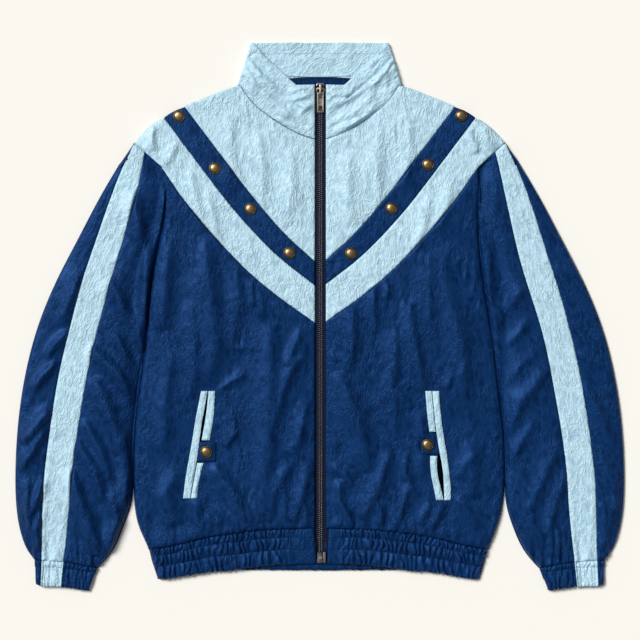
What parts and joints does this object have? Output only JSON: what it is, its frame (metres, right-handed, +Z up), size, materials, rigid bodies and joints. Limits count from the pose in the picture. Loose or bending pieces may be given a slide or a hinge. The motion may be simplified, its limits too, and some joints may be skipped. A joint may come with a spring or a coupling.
{
  "type": "windbreaker jacket",
  "caption": "Zip-front windbreaker jacket laid flat: stand collar, chevron yoke, striped sleeves, welt pockets, snaps, gathered hem and cuffs.",
  "frame": {"origin": "middle of the jacket's box at the surface it lies on, under the zip at chest height", "axes": "+X to the wearer's left across the sleeves, +Y toward the collar, +Z up from the surface, out of the jacket's front"},
  "size_m": [0.866, 0.7788, 0.0138],
  "materials": {
    "navy_nylon": "crinkled nylon with a satin sheen",
    "sky_nylon": "crinkled nylon with a satin sheen",
    "zip_tape": "fine woven tape",
    "zip_metal": "dark antique",
    "snap_brass": "antique, domed"
  },
  "bodies": {
    "jacket": {"back": "navy_nylon", "collar": "sky_nylon", "hem_back": "navy_nylon", "front_right": "navy_nylon", "yoke_right": "sky_nylon", "chevron_dark_right": "navy_nylon", "chevron_light_right": "sky_nylon", "hem_front_right": "navy_nylon", "front_left": "navy_nylon", "yoke_left": "sky_nylon", "chevron_dark_left": "navy_nylon", "chevron_light_left": "sky_nylon", "hem_front_left": "navy_nylon", "shoulder_cap_right": "sky_nylon", "sleeve_stripe_right": "sky_nylon", "sleeve_front_right": "navy_nylon", "sleeve_back_right": "navy_nylon", "cuff_right": "navy_nylon", "cuff_stripe_right": "sky_nylon", "shoulder_cap_left": "sky_nylon", "sleeve_stripe_left": "sky_nylon", "sleeve_front_left": "navy_nylon", "sleeve_back_left": "navy_nylon", "cuff_left": "navy_nylon", "cuff_stripe_left": "sky_nylon", "pocket_welt_outer_right": "sky_nylon", "pocket_welt_upper_right": "sky_nylon", "pocket_welt_lower_right": "sky_nylon", "pocket_tab_right": "navy_nylon", "pocket_snap_right": "snap_brass", "pocket_welt_outer_left": "sky_nylon", "pocket_welt_upper_left": "sky_nylon", "pocket_welt_lower_left": "sky_nylon", "pocket_tab_left": "navy_nylon", "pocket_snap_left": "snap_brass", "snap_right_1": "snap_brass", "snap_right_2": "snap_brass", "snap_right_3": "snap_brass", "snap_right_4": "snap_brass", "snap_left_1": "snap_brass", "snap_left_2": "snap_brass", "snap_left_3": "snap_brass", "snap_left_4": "snap_brass", "zip_tape_right": "zip_tape", "zip_tape_left": "zip_tape", "zip_chain": "zip_metal", "zip_retainer_box": "zip_metal", "zip_slider": "zip_metal"},
    "pull": {"pull_tab": "zip_metal"}
  },
  "joints": [
    {"name": "pull_hinge", "type": "hinge", "parent": "jacket", "child": "pull", "pos_m": [0.001, 0.323, 0.0088], "axis": [-1, 0, 0], "range_deg": [0, 165]}
  ]
}
